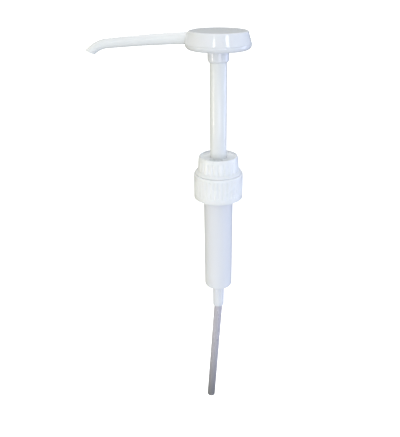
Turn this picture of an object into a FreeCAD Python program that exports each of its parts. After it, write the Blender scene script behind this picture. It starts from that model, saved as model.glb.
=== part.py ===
import FreeCAD, Part

# Hand pump for a condiment bottle or jar with a 38 mm continuous-thread neck.
# Frame: +Z up along the pump's axis, the spout points to -X, and the origin is on the axis in the
# underside of the neck gasket, which is the plane of the bottle's mouth. Millimetres.

import math
import os
import re

import Sketcher
from FreeCAD import Placement, Rotation, Vector

doc = FreeCAD.newDocument("CondimentPump")


# ---------------------------------------------------------------------------------------------
# Driving dimensions
# ---------------------------------------------------------------------------------------------

SIZE = {
    # neck stack, upwards from the bottle's mouth
    "gasket_thick": 1.2,
    "gasket_outer": 17.9,
    "gasket_inner": 13.2,
    "flange_top": 2.7,
    "flange_radius": 17.6,
    "neck_radius": 14.6,
    "neck_top": 16.6,
    # barrel of the cylinder, downwards from the bottle's mouth
    "bore_radius": 11.5,
    "barrel_radius": 13.0,
    "barrel_radius_low": 12.7,
    "barrel_bottom": 109.2,
    "barrel_round": 2.0,
    "floor_level": 107.6,
    "seat_mouth": 5.0,
    "seat_hole": 2.6,
    "seat_bottom": 110.0,
    "tube_stop": 112.2,
    "socket_top_radius": 5.85,
    "socket_end_radius": 5.2,
    "socket_end": 132.9,
    "flute_radius": 0.8,
    "flute_place": 5.85,
    "flute_clear": 2.0,
    "flute_count": 10,
    # dip tube
    "tube_radius": 3.9,
    "tube_bore": 2.7,
    "tube_bend_level": 134.0,
    "tube_bend_radius": 90.0,
    "tube_end": 248.4,
    "tube_end_offset": 7.7,
    # inlet valve
    "inlet_ball_radius": 4.0,
    "inlet_ball_level": 106.8,
    "cage_bore": 4.4,
    "cage_wall": 6.0,
    "cage_foot_radius": 11.3,
    "cage_foot_top": 106.0,
    "cage_roof": 100.2,
    "cage_top": 98.9,
    "cage_hole": 2.4,
    "window_half_width": 2.0,
    "window_top": 101.0,
    "window_count": 4,
    # return spring
    "spring_radius": 9.3,
    "wire_radius": 0.75,
    "spring_turns": 12,
    # piston, levels below the bottle's mouth
    "core_flange_top": 1.0,
    "core_flange_bottom": 3.0,
    "core_flange_radius": 10.6,
    "core_radius": 7.2,
    "core_shoulder": 11.8,
    "core_stub_radius": 6.0,
    "core_bottom": 14.2,
    "core_hole": 2.4,
    "core_seat_bottom": 6.6,
    "core_seat_top": 4.8,
    "core_chamber": 3.9,
    "seal_top": 3.1,
    "seal_bottom": 11.6,
    "seal_bore": 7.25,
    "seal_lip": 11.45,
    "seal_waist": 10.5,
    "seal_lip_height": 1.8,
    "seal_slope": 0.6,
    "washer_bottom": 13.0,
    "washer_bore": 8.4,
    "washer_radius": 11.1,
    "nut_radius": 8.0,
    "nut_bottom": 14.6,
    "nut_slot_half_width": 0.8,
    "nut_slot_deep": 1.2,
    # outlet valve
    "outlet_ball_radius": 3.5,
    "outlet_ball_level": 3.85,
    "spigot_top": 8.0,
    "stop_bottom": 2.4,
    "stop_wall": 0.8,
    "stop_bar_half_width": 0.7,
    "stop_bar_deep": 1.4,
    "stop_bar_inset": 0.3,
    # guide bush and wiper
    "bush_bore": 7.15,
    "bush_bottom": 0.8,
    "bush_flange_radius": 14.4,
    "bush_flange_top": 18.0,
    "bush_waist": 10.2,
    "bush_waist_low": 3.0,
    "bush_waist_high": 13.0,
    "bush_slope": 1.0,
    "wiper_low": 15.6,
    "wiper_high": 17.2,
    "wiper_radius": 8.6,
    "wiper_slope": 0.4,
    # lock collar
    "collar_bottom": 4.9,
    "collar_bore": 15.0,
    "collar_lip_radius": 20.2,
    "collar_lip_top": 7.6,
    "collar_wall_low": 17.9,
    "collar_band_low": 17.0,
    "collar_wall_high": 17.3,
    "collar_rim_radius": 16.6,
    "collar_rim": 20.0,
    "collar_dish_radius": 15.4,
    "collar_dish": 19.4,
    "collar_dish_slope": 0.6,
    "collar_plate_low": 18.1,
    "collar_hole": 7.7,
    "collar_lip_slope": 0.3,
    "collar_lip_edge": 1.1,
    "collar_rim_round": 0.5,
    "collar_groove": 0.75,
    "collar_groove_place": 18.0,
    "collar_groove_count": 24,
    # closure, the spinning screw cap
    "closure_radius": 21.5,
    "closure_top": 4.7,
    "closure_plate_low": 2.9,
    "closure_hole": 15.7,
    "closure_skirt": 17.9,
    "closure_thread_root": 19.1,
    "closure_thread_crest": 17.9,
    "closure_shoulder": 1.3,
    "closure_ribs_top": 2.2,
    "closure_band": 13.4,
    "closure_groove": 0.8,
    "closure_groove_place": 21.85,
    "closure_groove_count": 36,
    "closure_thread_start": 14.6,
    "closure_thread_rise": 6.4,
    "thread_pitch": 4.233,
    "thread_half_root": 1.2,
    "thread_half_crest": 0.4,
    "thread_bury": 0.2,
    # stem
    "stem_radius": 7.1,
    "stem_bore": 5.0,
    "stem_top": 109.0,
    "top_seal_thick": 1.4,
    # head
    "hub_radius": 8.7,
    "hub_bottom": 98.0,
    "hub_slope": 1.0,
    "hub_slope_high": 1.3,
    "pan_bottom": 107.9,
    "pan_round": 4.0,
    "seam_level": 112.3,
    "seam_radius": 26.5,
    "seam_gap": 0.1,
    "head_top": 122.0,
    "head_top_radius": 23.6,
    "head_edge": 0.8,
    "head_plate": 1.2,
    "head_wall": 1.6,
    "boss_top": 120.6,
    "riser_radius": 4.0,
    "riser_top": 119.4,
    "block_lift": 0.5,
    "block_inner_end": 6.0,
    "arm_half_width": 4.8,
    "arm_end": 21.4,
    # spout, in the plane of the axis; distances out from the axis and heights
    "spout_root_level": 116.5,
    "spout_spigot_long": 12.0,
    "spout_knee_out": 50.0,
    "spout_knee_level": 115.65,
    "spout_knee_radius": 900.0,
    "spout_bend_out": 94.2,
    "spout_bend_level": 111.7,
    "spout_bend_radius": 22.0,
    "spout_tip_out": 103.6,
    "spout_tip_level": 103.9,
    "spout_root_radius": 4.65,
    "spout_tip_radius": 3.5,
    "spout_spigot": 3.4,
    "spout_bore": 2.4,
    "spout_hole": 4.7,
    "spout_boss_radius": 5.35,
    "spout_boss_long": 4.8,
    "spout_cut_far_out": 109.0,
    "spout_cut_far_level": 108.8,
    "spout_cut_near_out": 94.0,
    "spout_cut_near_level": 102.4,
    "spout_cut_floor": 95.0,
}

sheet = doc.addObject("Spreadsheet::Sheet", "Sizes")
for row, (alias, value) in enumerate(SIZE.items(), start=1):
    sheet.set(f"A{row}", alias)
    sheet.set(f"B{row}", str(value))
    sheet.setAlias(f"B{row}", alias)
doc.recompute()


def amount(text):
    """The value of a sum of sheet names and numbers, such as 'neck_top - 2'."""
    total = 0.0
    for sign, word in re.findall(r"([+-]?)\s*([a-z_]+|[\d.]+)", text):
        value = SIZE[word] if word in SIZE else float(word)
        total += -value if sign == "-" else value
    return total


def bound(text):
    """The same sum as an expression on the sheet's cells."""
    return re.sub(r"[a-z_]+", lambda found: "Sizes." + found.group(), text)


# ---------------------------------------------------------------------------------------------
# Sketches and features
# ---------------------------------------------------------------------------------------------

def new_body(label):
    body = doc.addObject("PartDesign::Body", label)
    body.Label = label
    body.Placement = Placement()
    return body


def new_sketch(body, name, role):
    """A sketch on one of the body's own origin planes."""
    sketch = body.newObject("Sketcher::SketchObject", f"{body.Name}_{name}")
    plane = next(each for each in body.Origin.OriginFeatures if each.Role == role)
    sketch.AttachmentSupport = [(plane, "")]
    sketch.MapMode = "FlatFace"
    return sketch


def size(sketch, kind, places, text):
    """A dimension of the sketch, bound to the sheet."""
    constraint = Sketcher.Constraint(kind, *places, amount(text))
    index = sketch.addConstraint(constraint)
    sketch.setExpression(f"Constraints[{index}]", bound(text))


def pin(sketch, index, end, across, along):
    """Hold one end of a line, or a circle's centre, at a place given from the sketch's origin."""
    size(sketch, "DistanceX", (-1, 1, index, end), across)
    size(sketch, "DistanceY", (-1, 1, index, end), along)


def outline(sketch, corners):
    """A closed outline of straight lines through the corners."""
    points = [Vector(amount(across), amount(along), 0) for across, along in corners]
    for start, end in zip(points, points[1:] + points[:1]):
        sketch.addGeometry(Part.LineSegment(start, end), False)
    for index, (across, along) in enumerate(corners):
        following = (index + 1) % len(corners)
        sketch.addConstraint(Sketcher.Constraint("Coincident", index, 2, following, 1))
        pin(sketch, index, 1, across, along)


def circle(sketch, across, along, radius):
    centre = Vector(amount(across), amount(along), 0)
    index = sketch.addGeometry(Part.Circle(centre, Vector(0, 0, 1), amount(radius)), False)
    pin(sketch, index, 3, across, along)
    size(sketch, "Radius", (index,), radius)


def route(sketch, corners, radii):
    """An open path of straight runs through the corners, with a tangent arc at each inner corner."""
    points = [Vector(amount(across), amount(along), 0) for across, along in corners]
    ends = [points[0]]
    arcs = []
    for before, corner, after, radius in zip(points, points[1:], points[2:], radii):
        back = (before - corner).normalize()
        ahead = (after - corner).normalize()
        turn = math.pi - back.getAngle(ahead)
        reach = amount(radius) * math.tan(turn / 2)
        middle = (back + ahead).normalize()
        centre = corner + middle * (amount(radius) / math.cos(turn / 2))
        nearest = centre - middle * amount(radius)
        arcs.append(Part.Arc(corner + back * reach, nearest, corner + ahead * reach))
        ends += [corner + back * reach, corner + ahead * reach]
    ends.append(points[-1])
    lines = [sketch.addGeometry(Part.LineSegment(start, end), False)
             for start, end in zip(ends[::2], ends[1::2])]
    marks = [sketch.addGeometry(Part.Point(point), True) for point in points]
    for mark, (across, along) in zip(marks, corners):
        pin(sketch, mark, 1, across, along)
    sketch.addConstraint(Sketcher.Constraint("Coincident", lines[0], 1, marks[0], 1))
    sketch.addConstraint(Sketcher.Constraint("Coincident", lines[-1], 2, marks[-1], 1))
    for number, line in enumerate(lines):
        if number > 0:
            sketch.addConstraint(Sketcher.Constraint("PointOnObject", marks[number], 1, line))
        if number < len(lines) - 1:
            sketch.addConstraint(Sketcher.Constraint("PointOnObject", marks[number + 1], 1, line))
    for number, (arc, radius) in enumerate(zip(arcs, radii)):
        index = sketch.addGeometry(arc, False)
        starts_first = sketch.getPoint(index, 1).isEqual(sketch.getPoint(lines[number], 2), 1e-6)
        first, last = (1, 2) if starts_first else (2, 1)
        sketch.addConstraint(Sketcher.Constraint("Tangent", lines[number], 2, index, first))
        sketch.addConstraint(Sketcher.Constraint("Tangent", lines[number + 1], 1, index, last))
        size(sketch, "Radius", (index,), radius)


def revolve(body, name, corners, kind="PartDesign::Revolution"):
    """Turn an outline of (radius, height) corners all the way round the axis."""
    sketch = new_sketch(body, name + "_outline", "XZ_Plane")
    outline(sketch, corners)
    feature = body.newObject(kind, f"{body.Name}_{name}")
    feature.Profile = sketch
    feature.ReferenceAxis = (sketch, ["V_Axis"])
    feature.Angle = 360
    doc.recompute()
    return feature


def groove(body, name, corners):
    return revolve(body, name, corners, "PartDesign::Groove")


def lift(sketch, text):
    """Raise a sketch along its own normal."""
    sketch.setExpression(".AttachmentOffset.Base.z", bound(text))


def pocket(body, sketch, name, length, reverse=False, both_ways=False):
    """Cut a sketch into the body, and check that it removes material."""
    doc.recompute()
    before = body.Shape.Volume
    feature = body.newObject("PartDesign::Pocket", f"{body.Name}_{name}")
    feature.Profile = sketch
    feature.Reversed = reverse
    feature.Midplane = both_ways
    feature.setExpression("Length", bound(length))
    doc.recompute()
    if feature.Shape.Volume > before - 1e-6:
        raise RuntimeError(f"{feature.Name} cuts nothing")
    return feature


def pad(body, sketch, name, length, reverse=False):
    feature = body.newObject("PartDesign::Pad", f"{body.Name}_{name}")
    feature.Profile = sketch
    feature.Reversed = reverse
    feature.setExpression("Length", bound(length))
    doc.recompute()
    return feature


def repeat_round(body, feature, name, count):
    """Repeat one feature evenly round the axis."""
    pattern = body.newObject("PartDesign::PolarPattern", f"{body.Name}_{name}")
    pattern.Originals = [feature]
    axis = next(each for each in body.Origin.OriginFeatures if each.Role == "Z_Axis")
    pattern.Axis = (axis, [""])
    pattern.Angle = 360
    pattern.setExpression("Occurrences", bound(count))
    body.Tip = pattern
    doc.recompute()
    return pattern


def rings(feature, radius, level):
    """Names of the circular edges of this radius at this height."""
    names = []
    for number, edge in enumerate(feature.Shape.Edges, start=1):
        curve = edge.Curve
        if not isinstance(curve, Part.Circle):
            continue
        if abs(curve.Radius - amount(radius)) < 1e-3 and abs(curve.Center.z - amount(level)) < 1e-3:
            names.append(f"Edge{number}")
    return names


def soften(body, name, base, edges, radius, kind="PartDesign::Fillet"):
    """Round or bevel the named edges of the feature."""
    if not edges:
        raise RuntimeError(f"{body.Name}_{name} finds no edge")
    feature = body.newObject(kind, f"{body.Name}_{name}")
    feature.Base = (base, edges)
    feature.setExpression("Radius" if kind == "PartDesign::Fillet" else "Size", bound(radius))
    doc.recompute()
    return feature


def ball(label, radius, level):
    """A valve ball on the axis."""
    sphere = doc.addObject("Part::Sphere", label)
    sphere.Label = label
    sphere.setExpression("Radius", bound(radius))
    sphere.setExpression(".Placement.Base.z", bound(level))
    return sphere


# ---------------------------------------------------------------------------------------------
# Fixed parts
# ---------------------------------------------------------------------------------------------

def make_cylinder():
    """Barrel, neck flange, threaded neck, valve seat and dip tube socket, moulded in one."""
    body = new_body("cylinder")
    turned = revolve(body, "turned", [
        ("bore_radius", "neck_top"),
        ("neck_radius", "neck_top"),
        ("neck_radius", "flange_top"),
        ("flange_radius", "flange_top"),
        ("flange_radius", "gasket_thick"),
        ("barrel_radius", "gasket_thick"),
        ("barrel_radius_low", "-barrel_bottom"),
        ("socket_top_radius", "-barrel_bottom"),
        ("socket_end_radius", "-socket_end"),
        ("tube_radius", "-socket_end"),
        ("tube_radius", "-tube_stop"),
        ("seat_hole", "-tube_stop"),
        ("seat_hole", "-seat_bottom"),
        ("seat_mouth", "-floor_level"),
        ("bore_radius", "-floor_level"),
    ])
    soften(body, "bottom_round", turned, rings(turned, "barrel_radius_low", "-barrel_bottom"),
           "barrel_round")
    flute = new_sketch(body, "flute_outline", "XY_Plane")
    lift(flute, "-socket_end")
    circle(flute, "flute_place", "0", "flute_radius")
    cut = pocket(body, flute, "flute", "socket_end - barrel_bottom - flute_clear", reverse=True)
    repeat_round(body, cut, "flutes", "flute_count")


def make_dip_tube():
    """Suction tube, pushed into the socket and set slightly off the axis below it."""
    body = new_body("dip_tube")
    path = new_sketch(body, "path", "XZ_Plane")
    route(path, [("0", "-tube_stop"), ("0", "-tube_bend_level"), ("-tube_end_offset", "-tube_end")],
          ["tube_bend_radius"])
    section = new_sketch(body, "section", "XY_Plane")
    lift(section, "-tube_stop")
    circle(section, "0", "0", "tube_radius")
    circle(section, "0", "0", "tube_bore")
    doc.recompute()
    pipe = body.newObject("PartDesign::AdditivePipe", "dip_tube_pipe")
    pipe.Profile = section
    pipe.Spine = path
    doc.recompute()


def make_inlet_valve_cage():
    """Foot ring that carries the spring, and a windowed dome that keeps the ball near its seat."""
    body = new_body("inlet_valve_cage")
    revolve(body, "turned", [
        ("cage_bore", "-floor_level"),
        ("cage_foot_radius", "-floor_level"),
        ("cage_foot_radius", "-cage_foot_top"),
        ("cage_wall", "-cage_foot_top"),
        ("cage_wall", "-cage_top"),
        ("cage_hole", "-cage_top"),
        ("cage_hole", "-cage_roof"),
        ("cage_bore", "-cage_roof"),
    ])
    window = new_sketch(body, "window_outline", "YZ_Plane")
    outline(window, [
        ("-window_half_width", "-cage_foot_top"),
        ("window_half_width", "-cage_foot_top"),
        ("window_half_width", "-window_top"),
        ("-window_half_width", "-window_top"),
    ])
    cut = pocket(body, window, "window", "cage_wall + 1", reverse=True)
    repeat_round(body, cut, "windows", "window_count")


def make_return_spring():
    """Compression spring between the cage's foot and the thrust washer."""
    body = new_body("return_spring")
    section = new_sketch(body, "wire", "XZ_Plane")
    circle(section, "spring_radius", "-cage_foot_top + wire_radius", "wire_radius")
    doc.recompute()
    coil = body.newObject("PartDesign::AdditiveHelix", "return_spring_coil")
    coil.Profile = section
    coil.ReferenceAxis = (section, ["V_Axis"])
    coil.Mode = "height-turns-angle"
    coil.setExpression("Height", bound("cage_foot_top - washer_bottom - wire_radius - wire_radius"))
    coil.setExpression("Turns", bound("spring_turns"))
    coil.Angle = 0
    doc.recompute()


def make_guide_bush():
    """Long bush in the top of the cylinder, which guides the stem and stops the piston."""
    body = new_body("guide_bush")
    revolve(body, "turned", [
        ("bush_bore", "-bush_bottom"),
        ("bore_radius", "-bush_bottom"),
        ("bore_radius", "bush_waist_low"),
        ("bush_waist", "bush_waist_low + bush_slope"),
        ("bush_waist", "bush_waist_high"),
        ("bore_radius", "bush_waist_high + bush_slope"),
        ("bore_radius", "neck_top"),
        ("bush_flange_radius", "neck_top"),
        ("bush_flange_radius", "bush_flange_top"),
        ("bush_bore", "bush_flange_top"),
        ("bush_bore", "wiper_high"),
        ("wiper_radius", "wiper_high"),
        ("wiper_radius", "wiper_low"),
        ("bush_bore", "wiper_low"),
    ])


def make_stem_wiper():
    body = new_body("stem_wiper")
    revolve(body, "turned", [
        ("bush_bore", "wiper_low + wiper_slope"),
        ("wiper_radius", "wiper_low"),
        ("wiper_radius", "wiper_high"),
        ("bush_bore", "wiper_high - wiper_slope"),
    ])


def make_neck_gasket():
    body = new_body("neck_gasket")
    revolve(body, "turned", [
        ("gasket_inner", "0"),
        ("gasket_outer", "0"),
        ("gasket_outer", "gasket_thick"),
        ("gasket_inner", "gasket_thick"),
    ])


def make_lock_collar():
    """Ribbed collar with a flared lip, screwed on the cylinder's neck; its plate holds the bush down."""
    body = new_body("lock_collar")
    turned = revolve(body, "turned", [
        ("collar_bore", "collar_bottom"),
        ("collar_lip_radius - collar_lip_slope", "collar_bottom"),
        ("collar_lip_radius", "collar_bottom + collar_lip_slope"),
        ("collar_lip_radius", "collar_bottom + collar_lip_edge"),
        ("collar_wall_low", "collar_lip_top"),
        ("collar_wall_high", "collar_band_low"),
        ("collar_rim_radius", "collar_rim"),
        ("collar_dish_radius", "collar_rim"),
        ("collar_dish_radius - collar_dish_slope", "collar_dish"),
        ("collar_hole", "collar_dish"),
        ("collar_hole", "collar_plate_low"),
        ("collar_bore", "collar_plate_low"),
    ])
    soften(body, "rim_round", turned, rings(turned, "collar_rim_radius", "collar_rim"),
           "collar_rim_round")
    valley = new_sketch(body, "valley_outline", "XY_Plane")
    lift(valley, "collar_lip_top")
    circle(valley, "collar_groove_place", "0", "collar_groove")
    cut = pocket(body, valley, "valley", "collar_band_low - collar_lip_top", reverse=True)
    repeat_round(body, cut, "valleys", "collar_groove_count")


def make_closure():
    """Ribbed screw cap, free to spin between the cylinder's flange and the lock collar."""
    body = new_body("closure")
    turned = revolve(body, "turned", [
        ("closure_hole", "closure_plate_low"),
        ("closure_thread_root", "closure_plate_low"),
        ("closure_thread_root", "-closure_skirt"),
        ("closure_radius", "-closure_skirt"),
        ("closure_radius", "closure_top"),
        ("closure_hole", "closure_top"),
    ])
    soften(body, "shoulder", turned, rings(turned, "closure_radius", "closure_top"),
           "closure_shoulder")
    ridge = new_sketch(body, "thread_outline", "XZ_Plane")
    outline(ridge, [
        ("closure_thread_root + thread_bury", "-closure_thread_start - thread_half_root"),
        ("closure_thread_crest", "-closure_thread_start - thread_half_crest"),
        ("closure_thread_crest", "-closure_thread_start + thread_half_crest"),
        ("closure_thread_root + thread_bury", "-closure_thread_start + thread_half_root"),
    ])
    doc.recompute()
    thread = body.newObject("PartDesign::AdditiveHelix", "closure_thread")
    thread.Profile = ridge
    thread.ReferenceAxis = (ridge, ["V_Axis"])
    thread.Mode = "pitch-height-angle"
    thread.setExpression("Pitch", bound("thread_pitch"))
    thread.setExpression("Height", bound("closure_thread_rise"))
    thread.Angle = 0
    doc.recompute()
    valley = new_sketch(body, "valley_outline", "XY_Plane")
    lift(valley, "-closure_band")
    circle(valley, "closure_groove_place", "0", "closure_groove")
    cut = pocket(body, valley, "valley", "closure_band + closure_ribs_top", reverse=True)
    repeat_round(body, cut, "valleys", "closure_groove_count")


# ---------------------------------------------------------------------------------------------
# Plunger
# ---------------------------------------------------------------------------------------------

def make_piston_seal():
    """Cup seal with an upper and a lower lip on the bore."""
    body = new_body("piston_seal")
    revolve(body, "turned", [
        ("seal_bore", "-seal_bottom"),
        ("seal_lip", "-seal_bottom"),
        ("seal_lip", "-seal_bottom + seal_lip_height"),
        ("seal_waist", "-seal_bottom + seal_lip_height + seal_slope"),
        ("seal_waist", "-seal_top - seal_lip_height - seal_slope"),
        ("seal_lip", "-seal_top - seal_lip_height"),
        ("seal_lip", "-seal_top"),
        ("seal_bore", "-seal_top"),
    ])


def make_thrust_washer():
    body = new_body("thrust_washer")
    revolve(body, "turned", [
        ("washer_bore", "-washer_bottom"),
        ("washer_radius", "-washer_bottom"),
        ("washer_radius", "-seal_bottom"),
        ("washer_bore", "-seal_bottom"),
    ])


def make_piston_core():
    """Hollow core pressed into the stem; it carries the seal and holds the outlet valve's seat."""
    body = new_body("piston_core")
    revolve(body, "turned", [
        ("core_hole", "-core_bottom"),
        ("core_stub_radius", "-core_bottom"),
        ("core_stub_radius", "-core_shoulder"),
        ("core_radius", "-core_shoulder"),
        ("core_radius", "-core_flange_bottom"),
        ("core_flange_radius", "-core_flange_bottom"),
        ("core_flange_radius", "-core_flange_top"),
        ("stem_bore", "-core_flange_top"),
        ("stem_bore", "spigot_top"),
        ("core_chamber", "spigot_top"),
        ("core_chamber", "-core_seat_top"),
        ("core_hole", "-core_seat_bottom"),
    ])


def make_piston_nut():
    """Ring nut that keeps the seal on the core, with two slots for a spanner."""
    body = new_body("piston_nut")
    revolve(body, "turned", [
        ("core_stub_radius", "-nut_bottom"),
        ("nut_radius", "-nut_bottom"),
        ("nut_radius", "-core_shoulder"),
        ("core_stub_radius", "-core_shoulder"),
    ])
    slot = new_sketch(body, "slot_outline", "YZ_Plane")
    outline(slot, [
        ("-nut_slot_half_width", "-nut_bottom"),
        ("nut_slot_half_width", "-nut_bottom"),
        ("nut_slot_half_width", "-nut_bottom + nut_slot_deep"),
        ("-nut_slot_half_width", "-nut_bottom + nut_slot_deep"),
    ])
    pocket(body, slot, "slots", "nut_radius + nut_radius + 1", both_ways=True)


def make_outlet_ball_stop():
    """Ring with a cross bar in the top of the core, which stops the ball but lets food past."""
    body = new_body("outlet_ball_stop")
    revolve(body, "turned", [
        ("core_chamber - stop_wall", "stop_bottom"),
        ("core_chamber", "stop_bottom"),
        ("core_chamber", "spigot_top"),
        ("core_chamber - stop_wall", "spigot_top"),
    ])
    bar = new_sketch(body, "bar_outline", "XY_Plane")
    lift(bar, "stop_bottom")
    outline(bar, [
        ("-core_chamber + stop_bar_inset", "-stop_bar_half_width"),
        ("core_chamber - stop_bar_inset", "-stop_bar_half_width"),
        ("core_chamber - stop_bar_inset", "stop_bar_half_width"),
        ("-core_chamber + stop_bar_inset", "stop_bar_half_width"),
    ])
    pad(body, bar, "bar", "stop_bar_deep")


def make_stem():
    body = new_body("stem")
    revolve(body, "turned", [
        ("stem_bore", "-core_flange_top"),
        ("stem_radius", "-core_flange_top"),
        ("stem_radius", "stem_top"),
        ("stem_bore", "stem_top"),
    ])


def make_stem_top_seal():
    body = new_body("stem_top_seal")
    revolve(body, "turned", [
        ("stem_bore", "stem_top"),
        ("stem_radius", "stem_top"),
        ("stem_radius", "stem_top + top_seal_thick"),
        ("stem_bore", "stem_top + top_seal_thick"),
    ])


# ---------------------------------------------------------------------------------------------
# Head and spout
# ---------------------------------------------------------------------------------------------

# Angle at which the spout falls as it leaves the head, and near its tip.
ROOT_FALL = math.degrees(math.atan2(SIZE["spout_root_level"] - SIZE["spout_knee_level"],
                                    SIZE["spout_knee_out"] - SIZE["arm_end"]))
TIP_FALL = math.degrees(math.atan2(SIZE["spout_bend_level"] - SIZE["spout_tip_level"],
                                   SIZE["spout_tip_out"] - SIZE["spout_bend_out"]))


def across_spout(body, name, out="arm_end", level="spout_root_level", fall=ROOT_FALL):
    """A sketch square to the spout at a place on its centre line; its normal points to the head."""
    sketch = new_sketch(body, name, "YZ_Plane")
    sketch.AttachmentOffset = Placement(Vector(0, amount(level), -amount(out)),
                                        Rotation(Vector(1, 0, 0), -fall))
    sketch.setExpression(".AttachmentOffset.Base.y", bound(level))
    sketch.setExpression(".AttachmentOffset.Base.z", bound("-" + out))
    return sketch


def make_head_body():
    """Pan, hub and boss in one, with the block that carries the channel out to the spout."""
    body = new_body("head_body")
    turned = revolve(body, "turned", [
        ("0", "hub_bottom"),
        ("hub_radius - hub_slope", "hub_bottom"),
        ("hub_radius", "hub_bottom + hub_slope_high"),
        ("hub_radius", "pan_bottom"),
        ("seam_radius", "pan_bottom"),
        ("seam_radius", "seam_level - seam_gap"),
        ("seam_radius - head_wall", "seam_level - seam_gap"),
        ("seam_radius - head_wall", "pan_bottom + head_wall"),
        ("hub_radius", "pan_bottom + head_wall"),
        ("hub_radius", "boss_top"),
        ("0", "boss_top"),
    ])
    soften(body, "pan_round", turned, rings(turned, "seam_radius", "pan_bottom"), "pan_round")
    block = new_sketch(body, "block_outline", "XY_Plane")
    lift(block, "pan_bottom + block_lift")
    outline(block, [
        ("-arm_end", "-arm_half_width"),
        ("-block_inner_end", "-arm_half_width"),
        ("-block_inner_end", "arm_half_width"),
        ("-arm_end", "arm_half_width"),
    ])
    pad(body, block, "block", "boss_top - pan_bottom - block_lift")
    groove(body, "stem_socket", [
        ("0", "hub_bottom"),
        ("stem_radius", "hub_bottom"),
        ("stem_radius", "stem_top + top_seal_thick"),
        ("riser_radius", "stem_top + top_seal_thick"),
        ("riser_radius", "spout_root_level"),
        ("0", "riser_top"),
    ])
    socket = across_spout(body, "socket_outline")
    circle(socket, "0", "0", "spout_spigot")
    pocket(body, socket, "socket", "arm_end - riser_radius + 1", reverse=True)
    scallop = across_spout(body, "scallop_outline")
    circle(scallop, "0", "0", "spout_boss_radius + seam_gap")
    pocket(body, scallop, "scallop", "seam_radius - arm_end + 1")


def make_head_cap():
    """Push button: flat disc on a flared wall, with a boss on the wall that the spout goes through."""
    body = new_body("head_cap")
    turned = revolve(body, "turned", [
        ("0", "seam_level"),
        ("seam_radius", "seam_level"),
        ("head_top_radius", "head_top"),
        ("0", "head_top"),
    ])
    soften(body, "edge_round", turned, rings(turned, "head_top_radius", "head_top"), "head_edge")
    boss = across_spout(body, "boss_outline")
    circle(boss, "0", "0", "spout_boss_radius")
    pad(body, boss, "boss", "spout_boss_long", reverse=True)
    groove(body, "hollow", [
        ("0", "pan_bottom"),
        ("seam_radius - head_wall", "pan_bottom"),
        ("seam_radius - head_wall", "seam_level"),
        ("head_top_radius - head_wall", "head_top - head_plate"),
        ("0", "head_top - head_plate"),
    ])
    hole = across_spout(body, "hole_outline")
    circle(hole, "0", "0", "spout_hole")
    pocket(body, hole, "hole", "spout_boss_long + 1")


def make_spout():
    """Tapered tube with a bend near its tip, a spigot at its inner end and a slanted outlet."""
    body = new_body("spout")
    path = new_sketch(body, "path", "XZ_Plane")
    route(path, [
        ("-arm_end", "spout_root_level"),
        ("-spout_knee_out", "spout_knee_level"),
        ("-spout_bend_out", "spout_bend_level"),
        ("-spout_tip_out", "spout_tip_level"),
    ], ["spout_knee_radius", "spout_bend_radius"])
    root = across_spout(body, "root_section")
    circle(root, "0", "0", "spout_root_radius")
    tip = across_spout(body, "tip_section", "spout_tip_out", "spout_tip_level", TIP_FALL)
    circle(tip, "0", "0", "spout_tip_radius")
    doc.recompute()
    pipe = body.newObject("PartDesign::AdditivePipe", "spout_pipe")
    pipe.Profile = root
    pipe.Spine = path
    pipe.Transformation = "Multisection"
    pipe.Sections = [tip]
    doc.recompute()
    spigot = across_spout(body, "spigot_section")
    circle(spigot, "0", "0", "spout_spigot")
    pad(body, spigot, "spigot", "spout_spigot_long")
    bore = across_spout(body, "bore_section")
    circle(bore, "0", "0", "spout_bore")
    doc.recompute()
    hollow = body.newObject("PartDesign::SubtractivePipe", "spout_hollow")
    hollow.Profile = bore
    hollow.Spine = path
    doc.recompute()
    inlet = across_spout(body, "inlet_section")
    circle(inlet, "0", "0", "spout_bore")
    pocket(body, inlet, "inlet", "spout_spigot_long", reverse=True)
    cut = new_sketch(body, "outlet_cut", "XZ_Plane")
    outline(cut, [
        ("-spout_cut_far_out", "spout_cut_far_level"),
        ("-spout_cut_near_out", "spout_cut_near_level"),
        ("-spout_cut_near_out", "spout_cut_floor"),
        ("-spout_cut_far_out", "spout_cut_floor"),
    ])
    pocket(body, cut, "outlet", "spout_root_radius + spout_root_radius", both_ways=True)


# ---------------------------------------------------------------------------------------------
# Build, check and write
# ---------------------------------------------------------------------------------------------

make_cylinder()
make_dip_tube()
make_inlet_valve_cage()
make_return_spring()
make_guide_bush()
make_stem_wiper()
make_neck_gasket()
make_lock_collar()
make_closure()
make_piston_seal()
make_thrust_washer()
make_piston_core()
make_piston_nut()
make_outlet_ball_stop()
make_stem()
make_stem_top_seal()
make_head_body()
make_head_cap()
make_spout()
ball("inlet_ball", "inlet_ball_radius", "-inlet_ball_level")
ball("outlet_ball", "outlet_ball_radius", "-outlet_ball_level")
doc.recompute()

for each in doc.Objects:
    if "Invalid" in each.State or "Error" in each.State:
        raise RuntimeError(f"{each.Name} failed: {each.State}")

os.makedirs("parts", exist_ok=True)
sub_parts = [each for each in doc.Objects if each.TypeId in ("PartDesign::Body", "Part::Sphere")]
for each in sub_parts:
    if each.Shape.isNull() or not each.Shape.isValid() or len(each.Shape.Solids) != 1:
        raise RuntimeError(f"{each.Label} has no valid single solid")
    each.Shape.exportStep(f"parts/{each.Label}.step")
    box = each.Shape.BoundBox
    print(f"{each.Label:18s} solids {len(each.Shape.Solids)}  volume {each.Shape.Volume:9.1f}"
          f"  z {box.ZMin:8.2f} to {box.ZMax:8.2f}  x {box.XMin:8.2f} to {box.XMax:8.2f}")
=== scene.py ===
import math

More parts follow.
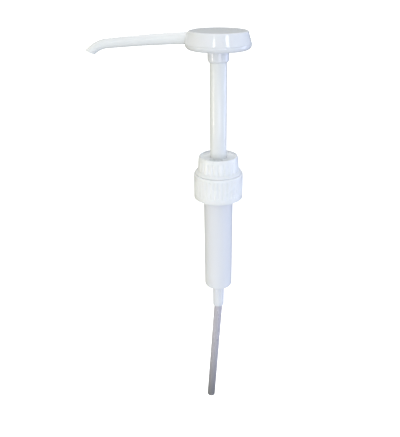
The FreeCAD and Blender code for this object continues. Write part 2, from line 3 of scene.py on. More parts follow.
import bmesh
import bpy
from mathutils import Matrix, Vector


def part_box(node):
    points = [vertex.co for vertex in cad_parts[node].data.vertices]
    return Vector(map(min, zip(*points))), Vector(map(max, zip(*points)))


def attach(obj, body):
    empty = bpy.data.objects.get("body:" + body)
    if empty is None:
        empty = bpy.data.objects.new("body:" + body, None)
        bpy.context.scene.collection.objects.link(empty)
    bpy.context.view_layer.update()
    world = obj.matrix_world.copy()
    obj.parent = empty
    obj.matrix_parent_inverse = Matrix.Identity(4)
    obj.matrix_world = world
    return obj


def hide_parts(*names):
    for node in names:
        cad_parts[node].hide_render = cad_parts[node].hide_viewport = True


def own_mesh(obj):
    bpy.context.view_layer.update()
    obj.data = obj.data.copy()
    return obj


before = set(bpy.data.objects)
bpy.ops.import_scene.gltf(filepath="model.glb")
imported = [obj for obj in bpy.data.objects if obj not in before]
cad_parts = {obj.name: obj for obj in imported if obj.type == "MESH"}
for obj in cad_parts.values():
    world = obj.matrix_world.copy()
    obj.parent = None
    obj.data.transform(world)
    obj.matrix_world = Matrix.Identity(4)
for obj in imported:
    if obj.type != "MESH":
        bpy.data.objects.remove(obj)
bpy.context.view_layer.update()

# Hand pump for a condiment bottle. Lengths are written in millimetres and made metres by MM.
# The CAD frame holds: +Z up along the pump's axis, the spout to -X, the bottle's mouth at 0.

MM = 0.001
POLE = 0.001      # radius, in mm, of a ring that is about to be closed on the axis
WELD = 0.004      # points nearer than this, in mm, are one point
FULL_TURN = 2 * math.pi


# ---------------------------------------------------------------------------------------------
# Working in edit mode
# ---------------------------------------------------------------------------------------------

def extent(node):
    """Outer radius, lowest and highest level of a CAD node that is round about the axis."""
    low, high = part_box(node)
    return high.x / MM, low.z / MM, high.z / MM


def spot(x, y, z):
    return x * MM, y * MM, z * MM


def choose(test, kind="EDGE"):
    """Select, in edit mode, the points, edges or faces whose every point passes the test."""
    bpy.ops.mesh.select_mode(type=kind)
    bpy.ops.mesh.select_all(action="DESELECT")
    mesh = bmesh.from_edit_mesh(bpy.context.object.data)
    for each in {"VERT": mesh.verts, "EDGE": mesh.edges, "FACE": mesh.faces}[kind]:
        points = [each] if kind == "VERT" else each.verts
        each.select_set(all(test(*(point.co / MM)) for point in points))
    bmesh.update_edit_mesh(bpy.context.object.data)


def on_ring(radius, level, near=0.02):
    """A test for points on a ring about the axis."""
    return lambda x, y, z: abs(z - level) < near and abs(math.hypot(x, y) - radius) < near


def start(name, points, radius, place, tilt=0.0):
    """A new ring of points, in edit mode, with its place in its mesh."""
    bpy.ops.object.select_all(action="DESELECT")
    bpy.ops.mesh.primitive_circle_add(vertices=points, radius=radius * MM, location=place,
                                      rotation=(0, tilt, 0))
    bpy.ops.object.transform_apply(location=True, rotation=True, scale=True)
    piece = bpy.context.object
    piece.name = name
    bpy.ops.object.mode_set(mode="EDIT")
    return piece


def close_up():
    """Weld what meets and turn every face outwards, and leave edit mode."""
    bpy.ops.mesh.select_all(action="SELECT")
    bpy.ops.mesh.remove_doubles(threshold=WELD * MM)
    bpy.ops.mesh.normals_make_consistent(inside=False)
    bpy.ops.object.mode_set(mode="OBJECT")


def cap_ends():
    """Close the open ends of a drawn bar."""
    bpy.ops.object.mode_set(mode="EDIT")
    bpy.ops.mesh.select_mode(type="EDGE")
    bpy.ops.mesh.select_all(action="SELECT")
    bpy.ops.mesh.remove_doubles(threshold=WELD * MM)
    bpy.ops.mesh.select_all(action="DESELECT")
    bpy.ops.mesh.select_non_manifold()
    bpy.ops.mesh.edge_face_add()
    close_up()


def draw_out(radius, level, outline):
    """Extrude the selected ring through the (radius, level) stops of an outline."""
    for next_radius, next_level in outline:
        scale = next_radius / radius
        rise = (0, 0, (next_level - level) * MM)
        bpy.ops.mesh.extrude_region_move(TRANSFORM_OT_translate={"value": rise})
        bpy.ops.transform.resize(value=(scale, scale, 1), center_override=(0, 0, 0))
        radius, level = next_radius, next_level


def turned(name, points, outline, ring=True):
    """A body of revolution. A ring's outline comes back to its start; else it ends on the axis."""
    radius, level = outline[0]
    piece = start(name, points, radius, spot(0, 0, level))
    draw_out(radius, level, outline[1:] + (outline[:1] if ring else []))
    close_up()
    return piece


def round_ring(radius, level, size, steps=5):
    """Round off the edge that runs round the axis at this radius and level."""
    bpy.ops.object.mode_set(mode="EDIT")
    choose(on_ring(radius, level))
    bpy.ops.mesh.bevel(offset=size * MM, offset_type="OFFSET", segments=steps, affect="EDGES")
    bpy.ops.object.mode_set(mode="OBJECT")


def press_valleys(points, count, rows, place, groove):
    """Press round-bottomed valleys into a wall; rows are the (radius, level) rings that they cross."""
    bpy.ops.object.mode_set(mode="EDIT")
    pitch = points // count
    spacing = FULL_TURN * place / points
    reach = int(groove / spacing)
    for radius, level in rows:
        for step in range(reach + 1):
            depth_radius = place - math.sqrt(groove ** 2 - (step * spacing) ** 2)
            if depth_radius > radius:
                continue

            def in_valley(x, y, z):
                turn = round(math.atan2(y, x) / FULL_TURN * points) % pitch
                return on_ring(radius, level)(x, y, z) and turn in (step, pitch - step, step - pitch)

            choose(in_valley, "VERT")
            scale = depth_radius / radius
            bpy.ops.transform.resize(value=(scale, scale, 1), center_override=(0, 0, 0))
    bpy.ops.object.mode_set(mode="OBJECT")


def modify(piece, kind, **settings):
    """Add a modifier, set it up and apply it."""
    bpy.ops.object.select_all(action="DESELECT")
    piece.select_set(True)
    bpy.context.view_layer.objects.active = piece
    modifier = piece.modifiers.new(kind.title(), kind)
    for name, value in settings.items():
        setattr(modifier, name, value)
    bpy.ops.object.modifier_apply(modifier=modifier.name)


def break_edges(piece, width, steps=2, angle=50):
    """Soften the mould's sharp edges."""
    modify(piece, "BEVEL", width=width * MM, segments=steps, limit_method="ANGLE",
           angle_limit=math.radians(angle), use_clamp_overlap=True)


def carve(piece, tool, operation="DIFFERENCE"):
    """Cut a tool shape from a piece, or weld it on, and throw the tool away."""
    modify(piece, "BOOLEAN", object=tool, operation=operation, solver="EXACT")
    bpy.data.objects.remove(tool)


def route(corners, radii, steps):
    """Stops (out, level, fall) along straight runs in the plane of the axis, with an arc at each
    inner corner. Fall is the angle below the level, outwards being -X."""
    points = [Vector(corner) for corner in corners]
    stops = []
    heading = points[1] - points[0]
    stops.append((*points[0], math.atan2(-heading.y, heading.x)))
    for before, corner, after, radius in zip(points, points[1:], points[2:], radii):
        arriving, leaving = (corner - before).normalized(), (after - corner).normalized()
        turn = arriving.angle_signed(leaving)
        reach = radius * math.tan(abs(turn) / 2)
        first_fall = math.atan2(-arriving.y, arriving.x)
        entry = corner - arriving * reach
        side = math.copysign(1, turn)
        centre = entry + Vector((arriving.y, -arriving.x)) * radius * side
        for step in range(steps + 1):
            fall = first_fall + turn * step / steps
            spoke = Vector((math.sin(fall), math.cos(fall))) * radius * side
            stops.append((*(centre + spoke), fall))
    last = points[-1] - points[-2]
    stops.append((*points[-1], math.atan2(-last.y, last.x)))
    return stops


def swept(name, points, stops, radii):
    """A tube drawn along the stops of a route, with a radius for each stop."""
    out, level, fall = stops[0]
    piece = start(name, points, radii[0], spot(-out, 0, level), tilt=-math.pi / 2 - fall)
    radius = radii[0]
    for (next_out, next_level, next_fall), next_radius in zip(stops[1:], radii[1:]):
        move = spot(out - next_out, 0, next_level - level)
        centre = spot(-next_out, 0, next_level)
        scale = next_radius / radius
        bpy.ops.mesh.extrude_region_move(TRANSFORM_OT_translate={"value": move})
        bpy.ops.transform.rotate(value=next_fall - fall, orient_axis="Y", center_override=centre)
        bpy.ops.transform.resize(value=(scale,) * 3, center_override=centre)
        out, level, fall, radius = next_out, next_level, next_fall, next_radius
    bpy.ops.mesh.select_all(action="SELECT")
    bpy.ops.mesh.normals_make_consistent(inside=False)
    bpy.ops.object.mode_set(mode="OBJECT")
    return piece


def shade(piece, angle=35):
    bpy.ops.object.select_all(action="DESELECT")
    piece.select_set(True)
    bpy.context.view_layer.objects.active = piece
    bpy.ops.object.shade_smooth_by_angle(angle=math.radians(angle))


def fit(piece, node, body, material):
    """Let a finished piece stand for its CAD node."""
    shade(piece)
    piece.data.materials.clear()
    piece.data.materials.append(material)
    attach(piece, body)
    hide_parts(node)


# ---------------------------------------------------------------------------------------------
# Materials
# ---------------------------------------------------------------------------------------------

def paint(code):
    """A linear colour from an sRGB hex value."""
    shares = [int(code[at:at + 2], 16) / 255 for at in (1, 3, 5)]
    linear = [share / 12.92 if share <= 0.04045 else ((share + 0.055) / 1.055) ** 2.4
              for share in shares]
    return (*linear, 1.0)


def add(tree, kind, settings, links=()):
    """Add a node, set its properties and sockets, and link (output, its input's name) pairs."""
    made = tree.nodes.new(kind)
    for name, value in settings.items():
        if name in made.inputs:
            made.inputs[name].default_value = value
        else:
            setattr(made, name, value)
    for output, name in links:
        tree.links.new(output, made.inputs[name])
    return made


def surface(name, light, dark, rough, grain_mm, ripple_mm, stretch=(1, 1, 1), finish=(), bump=0.1):
    """A moulded, extruded or drawn surface: two near colours in soft clouds, a gloss that varies
    with them, a fine grain from the tool and a longer ripple that makes highlights waver."""
    material = bpy.data.materials.new(name)
    material.use_nodes = True
    tree = material.node_tree
    shader = tree.nodes["Principled BSDF"]
    place = add(tree, "ShaderNodeTexCoord", {})
    lay = add(tree, "ShaderNodeMapping", {"Scale": stretch}, [(place.outputs["Object"], "Vector")])
    clouds = add(tree, "ShaderNodeTexNoise", {"Scale": 1 / (ripple_mm * 2 * MM), "Detail": 3.0},
                 [(lay.outputs["Vector"], "Vector")])
    colour = add(tree, "ShaderNodeMix", {"data_type": "RGBA"}, [(clouds.outputs["Fac"], "Factor")])
    colour.inputs[6].default_value = paint(light)
    colour.inputs[7].default_value = paint(dark)
    tree.links.new(colour.outputs[2], shader.inputs["Base Color"])
    gloss = add(tree, "ShaderNodeMapRange",
                {"From Min": 0.3, "From Max": 0.7, "To Min": rough * 0.85, "To Max": rough * 1.15},
                [(clouds.outputs["Fac"], "Value")])
    tree.links.new(gloss.outputs["Result"], shader.inputs["Roughness"])
    grain = add(tree, "ShaderNodeTexNoise", {"Scale": 1 / (grain_mm * MM), "Detail": 2.0},
                [(lay.outputs["Vector"], "Vector")])
    fine = add(tree, "ShaderNodeBump", {"Strength": bump, "Distance": grain_mm * 0.1 * MM},
               [(grain.outputs["Fac"], "Height")])
    ripple = add(tree, "ShaderNodeTexNoise", {"Scale": 1 / (ripple_mm * MM), "Detail": 1.0},
                 [(lay.outputs["Vector"], "Vector")])
    waver = add(tree, "ShaderNodeBump", {"Strength": bump, "Distance": ripple_mm * 0.01 * MM},
                [(ripple.outputs["Fac"], "Height"), (fine.outputs["Normal"], "Normal")])
    tree.links.new(waver.outputs["Normal"], shader.inputs["Normal"])
    for socket, value in finish:
        shader.inputs[socket].default_value = value
    return material


def darken_downwards(material, code, low, high, curve):
    """Darken a finish from its higher level to its lower one."""
    tree = material.node_tree
    shader = tree.nodes["Principled BSDF"]
    upper_colour = shader.inputs["Base Color"].links[0].from_socket
    place = add(tree, "ShaderNodeTexCoord", {})
    split = add(tree, "ShaderNodeSeparateXYZ", {}, [(place.outputs["Object"], "Vector")])
    depth = add(tree, "ShaderNodeMapRange", {"From Min": high * MM, "From Max": low * MM},
                [(split.outputs["Z"], "Value")])
    share = add(tree, "ShaderNodeMath", {"operation": "POWER"})
    share.inputs[1].default_value = curve
    tree.links.new(depth.outputs["Result"], share.inputs[0])
    colour = add(tree, "ShaderNodeMix", {"data_type": "RGBA"}, [(share.outputs["Value"], "Factor")])
    colour.inputs[7].default_value = paint(code)
    tree.links.new(upper_colour, colour.inputs[6])
    tree.links.new(colour.outputs[2], shader.inputs["Base Color"])


# White polypropylene lets a little light in, so that its shaded sides stay soft.
WHITE_POLYPROPYLENE = [("IOR", 1.49), ("Subsurface Weight", 0.15), ("Subsurface Scale", 0.002),
                       ("Subsurface Radius", (1.0, 0.9, 0.8))]

# Polypropylene, injection moulded in a polished tool: white and glossy.
moulded_polypropylene = surface(
    "moulded_polypropylene", "#e4e6eb", "#dfe1e7", rough=0.09, grain_mm=0.3, ripple_mm=9, bump=0.05,
    finish=WHITE_POLYPROPYLENE)

# Polypropylene of the ribbed collar and cap, moulded in a spark-eroded tool: satin.
satin_polypropylene = surface(
    "satin_polypropylene", "#ebedf0", "#e6e8ec", rough=0.3, grain_mm=0.35, ripple_mm=8,
    finish=WHITE_POLYPROPYLENE)

# The barrel's polypropylene flows down a long thin wall: satin, streaked lengthwise, a little grey.
long_flow_polypropylene = surface(
    "long_flow_polypropylene", "#e5e7ee", "#dfe1e9", rough=0.34, grain_mm=0.35, ripple_mm=12,
    stretch=(1, 1, 0.25),
    finish=WHITE_POLYPROPYLENE)

# High-density polyethylene, extruded: white with faint die lines along the tube.
extruded_polyethylene = surface(
    "extruded_polyethylene", "#e8eaeb", "#e2e4e7", rough=0.2, grain_mm=0.5, ripple_mm=5,
    stretch=(1, 1, 0.08),
    finish=[("IOR", 1.54), ("Subsurface Weight", 0.2), ("Subsurface Scale", 0.002),
            ("Subsurface Radius", (1.0, 0.95, 0.9))])

# Low-density polyethylene without pigment: a cloudy grey tube that lets some light through, and
# whose colour is darker towards the foot.
natural_polyethylene = surface(
    "natural_polyethylene", "#d7d5df", "#ccc9d5", rough=0.28, grain_mm=0.6, ripple_mm=4,
    stretch=(1, 1, 0.1),
    finish=[("IOR", 1.51), ("Transmission Weight", 0.3)])
# The tube's base colour is darkened towards its foot.
darken_downwards(natural_polyethylene, "#807f85", *extent("dip_tube")[1:], curve=2.6)

# Natural polypropylene of the inner mouldings: creamy and satin.
natural_polypropylene = surface(
    "natural_polypropylene", "#e6e4dc", "#dcdacf", rough=0.38, grain_mm=0.3, ripple_mm=6,
    finish=[("IOR", 1.49), ("Subsurface Weight", 0.3), ("Subsurface Scale", 0.003)])

# Food-grade silicone rubber of the seals: matt, off-white and soft-looking.
silicone_rubber = surface(
    "silicone_rubber", "#dad7cd", "#cfccc2", rough=0.55, grain_mm=0.2, ripple_mm=3, bump=0.2,
    finish=[("IOR", 1.41), ("Subsurface Weight", 0.2), ("Subsurface Scale", 0.001)])

# Stainless steel wire, drawn through a die: bright, with fine scratches along the wire.
drawn_stainless = surface(
    "drawn_stainless", "#c6c4bf", "#b4b2ad", rough=0.28, grain_mm=0.1, ripple_mm=1.5, bump=0.25,
    finish=[("Metallic", 1.0)])

# Stainless steel ball, lapped and polished: nearly a mirror, with a trace of haze.
polished_stainless = surface(
    "polished_stainless", "#d2d1ce", "#c8c7c4", rough=0.08, grain_mm=0.1, ripple_mm=2, bump=0.05,
    finish=[("Metallic", 1.0)])


# ---------------------------------------------------------------------------------------------
# Head
# ---------------------------------------------------------------------------------------------

head_radius, hub_low, boss_high = extent("head_body")
head_high = extent("head_cap")[2]
cap_height, cap_flare, pan_height = 9.7, 2.9, 4.4
seam = head_high - cap_height
rim_radius = head_radius - cap_flare
pan_low = seam - pan_height
spout_depth, knee_drop, head_edge = 5.5, 0.85, 0.06
spout_out, spout_level = 21.4, head_high - spout_depth      # where the spout leaves the inner block
knee = (50.0, spout_level - knee_drop)
spout_hole, spigot = 4.7, 3.4
spout_fall = math.atan2(spout_level - knee[1], knee[0] - spout_out)


def wall_radius(level):
    """Outer radius of the cap's flared wall at a level."""
    return head_radius + (rim_radius - head_radius) * (level - seam) / (head_high - seam)


def rod(name, radius, first_out, last_out):
    """A plain cutting rod along the spout's line."""
    middle = (first_out + last_out) / 2
    level = spout_level - (middle - spout_out) * math.tan(spout_fall)
    bpy.ops.object.select_all(action="DESELECT")
    bpy.ops.mesh.primitive_cylinder_add(vertices=64, radius=radius * MM,
                                        depth=(last_out - first_out) / math.cos(spout_fall) * MM,
                                        location=spot(-middle, 0, level),
                                        rotation=(0, math.pi / 2 + spout_fall, 0))
    bpy.ops.object.transform_apply(location=True, rotation=True, scale=True)
    bpy.context.object.name = name
    return bpy.context.object


def make_push_cap():
    """Flat disc on a flared wall, with a soft swelling that the spout comes out of."""
    points, rows, wall, plate, disc_round = 240, 10, 1.6, 1.2, 0.8
    swell_out, swell_half, swell_reach, shoulder = 26.2, 3.6, 4.0, 3.4
    blend_out, blend_half, disc_blend_out, margin = 15, 14, 19, 0.5
    disc_shares = (0.93, 0.75, 0.5, 0.25, 0.05)
    under = [(POLE, head_high - plate), (rim_radius - wall, head_high - plate),
             (head_radius - wall, seam)]
    levels = [seam + (head_high - seam) * row / rows for row in range(rows + 1)]
    side = [(wall_radius(level), level) for level in levels]
    disc = [(rim_radius * share, head_high) for share in disc_shares]
    piece = turned("push_cap", points, under + side + disc + [(POLE, head_high)], ring=False)
    round_ring(rim_radius, head_high, disc_round)

    def at_spout(x, y, z):
        return (x < 0 and abs(y) < swell_half and seam + margin < z < head_high - shoulder
                and math.hypot(x, y) > rim_radius - margin)

    def round_spout(x, y, z):
        on_wall = math.hypot(x, y) > wall_radius(z) - margin
        on_disc = z > head_high - margin and x < -disc_blend_out
        return x < -blend_out and abs(y) < blend_half and z > seam + margin and (on_wall or on_disc)

    bpy.ops.object.mode_set(mode="EDIT")
    choose(at_spout, "VERT")
    bpy.ops.transform.resize(value=(0, 1, 1), center_override=spot(-swell_out, 0, 0),
                             use_proportional_edit=True, use_proportional_connected=True,
                             proportional_edit_falloff="SMOOTH",
                             proportional_size=swell_reach * MM)
    choose(round_spout, "VERT")
    bpy.ops.mesh.vertices_smooth(factor=0.5, repeat=12)
    bpy.ops.object.mode_set(mode="OBJECT")
    break_edges(piece, head_edge)
    carve(piece, rod("hole", spout_hole, spout_out, spout_out + 8))
    fit(piece, "head_cap", "plunger", moulded_polypropylene)


def make_head_pan():
    """Pan under the cap, with the hub that takes the stem and the block that feeds the spout."""
    hub, hub_slope, hub_rise, stem, riser, floor = 8.7, 1.0, 1.3, 7.1, 4.0, 1.6
    seam_gap, pan_round, hub_round = 0.05, 4.0, 0.6
    block_middle, block_long, block_wide, block_short = 13.5, 15.8, 9.6, 1
    socket_high = extent("stem_top_seal")[2]
    riser_high = socket_high + 9
    pan_top = seam - seam_gap
    piece = turned("head_pan", 192, [
        (POLE, riser_high), (riser, spout_level), (riser, socket_high), (stem, socket_high),
        (stem, hub_low), (hub - hub_slope, hub_low), (hub, hub_low + hub_rise), (hub, pan_low),
        (head_radius, pan_low), (head_radius, pan_top), (head_radius - floor, pan_top),
        (head_radius - floor, pan_low + floor), (hub, pan_low + floor), (hub, boss_high),
        (POLE, boss_high)], ring=False)
    round_ring(head_radius, pan_low, pan_round, steps=8)
    round_ring(hub, pan_low, hub_round, steps=3)
    break_edges(piece, head_edge)
    bpy.ops.object.select_all(action="DESELECT")
    bpy.ops.mesh.primitive_cube_add(
        size=MM, location=spot(-block_middle, 0, (pan_low + boss_high) / 2),
        scale=(block_long, block_wide, boss_high - pan_low - block_short))
    bpy.ops.object.transform_apply(location=True, rotation=True, scale=True)
    block = bpy.context.object
    carve(block, rod("channel", spigot, riser, spout_out + 4))
    carve(piece, block, "UNION")
    carve(piece, rod("socket", spigot, riser - 1, spout_out + 4))
    fit(piece, "head_body", "plunger", moulded_polypropylene)


def make_spout():
    """Tapered tube with a bend near its tip and an outlet cut aslant."""
    root, tip, wall, spigot_long = 4.65, 3.5, 1.1, 11.5
    bend, outlet, sweep_radius, bend_radius = (94.2, 111.7), (103.6, 103.9), 900.0, 22.0
    cut_far, cut_near = Vector((-109.0, 0, 108.8)), Vector((-94.0, 0, 102.4))
    corners = [(spout_out, spout_level), knee, bend, outlet]
    stops = route(corners, [sweep_radius, bend_radius], steps=12)
    inner = (spout_out - spigot_long, spout_level + spigot_long * math.tan(spout_fall), spout_fall)
    length = stops[-1][0] - spout_out
    radii = [root + (tip - root) * (out - spout_out) / length for out, _, _ in stops]
    piece = swept("spout_tube", 64, [inner, stops[0]] + stops, [spigot, spigot] + radii)
    bpy.ops.object.mode_set(mode="EDIT")
    bpy.ops.mesh.select_all(action="SELECT")
    slope = (cut_near - cut_far).normalized()
    bpy.ops.mesh.bisect(plane_co=cut_far * MM, plane_no=(slope.z, 0, -slope.x),
                        clear_outer=True, clear_inner=False)
    close_up()
    modify(piece, "SOLIDIFY", thickness=wall * MM, offset=-1, use_even_offset=True)
    break_edges(piece, 0.25, steps=3)
    fit(piece, "spout", "plunger", extruded_polyethylene)


def make_stem():
    radius, low, high = extent("stem")
    bore = 5.0
    piece = turned("plunger_stem", 128, [(bore, low), (radius, low), (radius, high), (bore, high)])
    break_edges(piece, 0.3)
    fit(piece, "stem", "plunger", extruded_polyethylene)


# ---------------------------------------------------------------------------------------------
# Collar and closure
# ---------------------------------------------------------------------------------------------

def make_lock_collar():
    """Ribbed collar: flared lip, ribs that fade upwards into a plain band, rim and dished plate."""
    lip, low, high = extent("lock_collar")
    bore, hole, flare_low, lip_high, band_low = 15.0, 7.2, low + 1.1, low + 2.7, low + 12.1
    wall_low, wall_high, rim, dish, depth, plate_depth = 17.9, 17.3, 16.6, 15.6, 1.2, 1.9
    rim_round, lip_round, flare_round, hole_round, dish_slope = 0.5, 0.3, 0.7, 0.1, 0.6
    count, points, fade, ramp = 24, 384, 0.4, 4
    slope = (wall_high - wall_low) / (band_low - lip_high)
    ribbed = [(wall_low + slope * (level - lip_high), level)
              for level in (lip_high + fade, lip_high + ramp, band_low - ramp, band_low - fade)]
    piece = turned("ribbed_lock_collar", points, [
        (bore, low), (lip, low), (lip, flare_low), (wall_low, lip_high), *ribbed,
        (wall_high, band_low), (rim, high), (dish, high), (dish - dish_slope, high - depth),
        (hole, high - depth), (hole, high - plate_depth), (bore, high - plate_depth)])
    press_valleys(points, count, ribbed, place=18.05, groove=1.0)
    round_ring(rim, high, rim_round, steps=3)
    round_ring(lip, low, lip_round, steps=3)
    round_ring(lip, flare_low, flare_round, steps=4)
    round_ring(hole, high - depth, hole_round, steps=2)
    break_edges(piece, 0.12)
    fit(piece, "lock_collar", "pump_body", satin_polypropylene)


def make_closure():
    """Ribbed screw cap with a rounded shoulder, a plain band at its foot and a thread inside."""
    radius, low, high = extent("closure")
    hole, root, crest, plate, shoulder, thread_rise = 15.7, 19.1, 17.9, 1.8, 1.3, 3.3
    band, ribs_high, fade = low + 4.5, high - 2.5, 0.4
    count, points = 36, 432
    ribbed = [(radius, band + fade), (radius, ribs_high - fade)]
    piece = turned("ribbed_closure", points, [
        (hole, high - plate), (root, high - plate), (root, low), (radius, low), (radius, band),
        *ribbed, (radius, ribs_high), (radius, high), (hole, high)])
    press_valleys(points, count, ribbed, place=21.85, groove=0.85)
    round_ring(radius, high, shoulder, steps=6)
    break_edges(piece, 0.15)
    carve(piece, thread_ridge(root, crest, low + thread_rise), "UNION")
    fit(piece, "closure", "cap", satin_polypropylene)


def thread_ridge(root, crest, level):
    """One and a half turns of a thread's ridge, six turns to the inch."""
    pitch, turns, half_root, half_crest, bury = 4.233, 1.5, 1.2, 0.4, 0.3
    ridge = start("ridge", 4, half_root, spot(root, 0, level))
    corners = [(root + bury, -half_root), (crest, -half_crest),
               (crest, half_crest), (root + bury, half_root)]
    mesh = bmesh.from_edit_mesh(ridge.data)
    for vertex, (out, up) in zip(mesh.verts, corners):
        vertex.co = spot(out, 0, level + up)
    bmesh.update_edit_mesh(ridge.data)
    bpy.ops.object.mode_set(mode="OBJECT")
    modify(ridge, "SCREW", angle=FULL_TURN * turns, screw_offset=pitch * turns * MM, axis="Z",
           steps=144, render_steps=144, use_normal_calculate=False)
    cap_ends()
    return ridge


# ---------------------------------------------------------------------------------------------
# Cylinder, tube and spring
# ---------------------------------------------------------------------------------------------

def make_barrel():
    """Cylinder with its flange and neck, a rounded foot and the fluted socket for the tube."""
    flange, socket_end, neck_high = extent("cylinder")
    bore, neck, flange_low, flange_high = 11.5, 14.6, 1.2, 2.7
    barrel_high, barrel_low, foot, floor = 13.0, 12.7, -109.2, -107.6
    socket_high, socket_low, stop = 5.85, 5.2, -112.2
    tube_hole, inlet, inlet_cone, cone_depth, foot_round = 3.92, 2.6, 5.0, 2.4, 2.0
    points, count = 160, 10
    slope = (socket_low - socket_high) / (socket_end - foot)
    fluted = [(socket_high + slope * (level - foot), level)
              for level in (foot - 2.4, foot - 9, foot - 16, socket_end + 0.01)]
    piece = turned("pump_barrel", points, [
        (bore, neck_high), (neck, neck_high), (neck, flange_high), (flange, flange_high),
        (flange, flange_low), (barrel_high, flange_low), (barrel_low, foot),
        (socket_high, foot), (socket_high, foot - 2), *fluted, (tube_hole, socket_end),
        (tube_hole, stop), (inlet, stop), (inlet, floor - cone_depth), (inlet_cone, floor),
        (bore, floor)])
    press_valleys(points, count, fluted, place=socket_high, groove=0.8)
    round_ring(barrel_low, foot, foot_round, steps=6)
    break_edges(piece, 0.15)
    fit(piece, "cylinder", "pump_body", long_flow_polypropylene)


def make_suction_tube():
    """Straight where the socket holds it, then bent a little towards the spout's side."""
    radius, wall, bend_radius = 3.9, 1.2, 90.0
    top, bend, foot = (0, -112.2), (0.001, -134.0), (7.7, -248.4)
    stops = route([top, bend, foot], [bend_radius], steps=8)
    piece = swept("suction_tube", 64, stops, [radius] * len(stops))
    modify(piece, "SOLIDIFY", thickness=wall * MM, offset=-1, use_even_offset=True)
    break_edges(piece, 0.25, steps=3)
    fit(piece, "dip_tube", "pump_body", natural_polyethylene)


def make_spring():
    """Coil with a closed turn at each end."""
    outer, low, high = extent("return_spring")
    wire, turns, points, steps = 0.75, 10, 16, 36
    mean = outer - wire
    closed = 2 * wire * 1.02
    open_pitch = (high - low - 2 * wire - 2 * closed) / turns
    level = low + wire
    coils = []
    for pitch, count in ((closed, 1), (open_pitch, turns), (closed, 1)):
        coil = start("coil", points, wire, spot(mean, 0, level))
        bpy.ops.transform.rotate(value=math.pi / 2, orient_axis="X",
                                 center_override=spot(mean, 0, level))
        bpy.ops.object.mode_set(mode="OBJECT")
        modify(coil, "SCREW", angle=FULL_TURN, screw_offset=pitch * MM, iterations=count, axis="Z",
               steps=steps, render_steps=steps, use_normal_calculate=False)
        coils.append(coil)
        level += pitch * count
    bpy.ops.object.select_all(action="DESELECT")
    for coil in coils:
        coil.select_set(True)
    bpy.context.view_layer.objects.active = coils[0]
    bpy.ops.object.join()
    piece = bpy.context.object
    piece.name = "coil_spring"
    cap_ends()
    fit(piece, "return_spring", "pump_body", drawn_stainless)
    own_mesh(piece)


def make_gasket():
    outer, low, high = extent("neck_gasket")
    hole = 13.2
    piece = turned("mouth_gasket", 128, [(hole, low), (outer, low), (outer, high), (hole, high)])
    break_edges(piece, 0.25, steps=3)
    fit(piece, "neck_gasket", "pump_body", silicone_rubber)


make_push_cap()
make_head_pan()
make_spout()
make_stem()
make_lock_collar()
make_closure()
make_barrel()
make_suction_tube()
make_spring()
make_gasket()

KEPT = {
    natural_polypropylene: ["inlet_valve_cage", "guide_bush", "piston_core", "piston_nut",
                            "outlet_ball_stop"],
    silicone_rubber: ["stem_wiper", "piston_seal", "stem_top_seal"],
    drawn_stainless: ["thrust_washer"],
    polished_stainless: ["inlet_ball", "outlet_ball"],
}
for material, nodes in KEPT.items():
    for node in nodes:
        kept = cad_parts[node]
        for slot in kept.material_slots:
            slot.material = material


# ---------------------------------------------------------------------------------------------
# Studio
# ---------------------------------------------------------------------------------------------

def make_floor():
    """A white paper floor that runs up into a white tent all round; it only backs the view."""
    size, drop, steps = 15.0, 0.9, 12
    bpy.ops.object.select_all(action="DESELECT")
    bpy.ops.mesh.primitive_circle_add(vertices=96, radius=size, fill_type="NGON",
                                      location=(0, 0, -drop))
    bpy.ops.object.transform_apply(location=True)
    floor = bpy.context.object
    floor.name = "floor"
    bpy.ops.object.mode_set(mode="EDIT")
    for step in range(steps):
        before, after = (math.pi / 2 * at / steps for at in (step, step + 1))
        rise = (0, 0, size * (math.sin(after) - math.sin(before)))
        scale = max(math.cos(after), 0.01) / math.cos(before)
        bpy.ops.mesh.extrude_region_move(TRANSFORM_OT_translate={"value": rise})
        bpy.ops.transform.resize(value=(scale, scale, 1), center_override=(0, 0, 0))
    bpy.ops.object.mode_set(mode="OBJECT")
    paper = bpy.data.materials.new("white_paper")
    paper.use_nodes = True
    shader = paper.node_tree.nodes["Principled BSDF"]
    shader.inputs["Base Color"].default_value = paint("#f2f2f2")
    shader.inputs["Roughness"].default_value = 0.9
    shader.inputs["Emission Color"].default_value = (1, 1, 1, 1)
    shader.inputs["Emission Strength"].default_value = 1.0
    floor.data.materials.append(paper)
    floor.visible_diffuse = False
    floor.visible_glossy = False
    floor.visible_shadow = False


def soft_box(name, azimuth, elevation, distance, width, height, power, colour):
    """A lamp panel that faces the head from a direction; azimuth 0 is the front, + to the right."""
    turn, lift = math.radians(azimuth), math.radians(elevation)
    aim = Vector((0, 0, 0.05))
    away = Vector((math.sin(turn) * math.cos(lift), -math.cos(turn) * math.cos(lift), math.sin(lift)))
    bpy.ops.object.light_add(type="AREA", location=aim + away * distance)
    lamp = bpy.context.object
    lamp.name = name
    lamp.rotation_euler = away.to_track_quat("Z", "Y").to_euler()
    lamp.data.shape = "RECTANGLE"
    lamp.data.size = width
    lamp.data.size_y = height
    lamp.data.energy = power
    lamp.data.color = paint(colour)[:3]


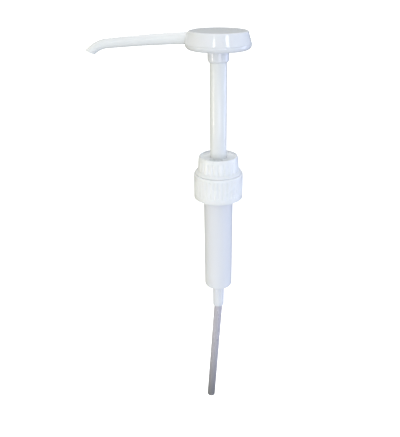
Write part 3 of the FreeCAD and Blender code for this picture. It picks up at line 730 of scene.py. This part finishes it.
def make_light():
    """A tent of light, warmer on the left, cooler on the right and dimmer behind, with panels."""
    world = bpy.data.worlds.new("studio")
    bpy.context.scene.world = world
    world.use_nodes = True
    tree = world.node_tree
    sky = tree.nodes["Background"]
    place = add(tree, "ShaderNodeTexCoord", {})
    way = add(tree, "ShaderNodeSeparateXYZ", {}, [(place.outputs["Generated"], "Vector")])
    side = add(tree, "ShaderNodeMapRange", {"From Min": -1.0, "From Max": 1.0},
               [(way.outputs["X"], "Value")])
    tint = add(tree, "ShaderNodeMix", {"data_type": "RGBA"}, [(side.outputs["Result"], "Factor")])
    tint.inputs[6].default_value = paint("#fdfce8")
    tint.inputs[7].default_value = paint("#e0eeff")
    tree.links.new(tint.outputs[2], sky.inputs["Color"])
    back = add(tree, "ShaderNodeMapRange",
               {"From Min": -0.1, "From Max": 0.1, "To Min": 0.2, "To Max": 0.46},
               [(way.outputs["Z"], "Value")])
    depth = add(tree, "ShaderNodeMapRange", {"From Min": -1.0, "From Max": 1.0, "To Min": 0.86},
                [(way.outputs["Y"], "Value"), (back.outputs["Result"], "To Max")])
    tree.links.new(depth.outputs["Result"], sky.inputs["Strength"])
    soft_box("top_panel", 180, 85, 1.6, 1.0, 1.0, 5.4, "#fff2f8")
    soft_box("back_panel", 180, 40, 1.6, 1.0, 1.0, 4, "#ffffff")
    soft_box("front_panel", 0, 62, 1.6, 1.0, 1.0, 1.4, "#ffffff")
    soft_box("low_panel", 15, -14, 1.0, 0.5, 0.3, 1.7, "#e9e9ff")
    soft_box("right_strip", 33, 26, 1.0, 0.17, 0.30, 1.2, "#ffffff")
    soft_box("left_strip", -15, 26, 1.0, 0.10, 0.10, 0.3, "#ffffff")
    soft_box("cool_side", 99, -10, 1.0, 0.4, 0.5, 2.8, "#cfd8ff")
    soft_box("warm_side", -70, -10, 1.0, 0.12, 0.5, 2.3, "#fff6e8")


def make_camera():
    """A camera a little above the head, looking down along the pump."""
    away, above, look_down = 0.43974, 0.16943, 25.5
    bpy.ops.object.camera_add(location=(0, -away, above),
                              rotation=(math.radians(90 - look_down), 0, 0))
    camera = bpy.context.object
    camera.data.lens = 44.15
    camera.data.shift_x = -0.042
    camera.data.clip_start = 0.01
    camera.data.clip_end = 100
    bpy.context.scene.camera = camera


make_floor()
make_light()
make_camera()
bpy.context.scene.view_settings.view_transform = "Standard"
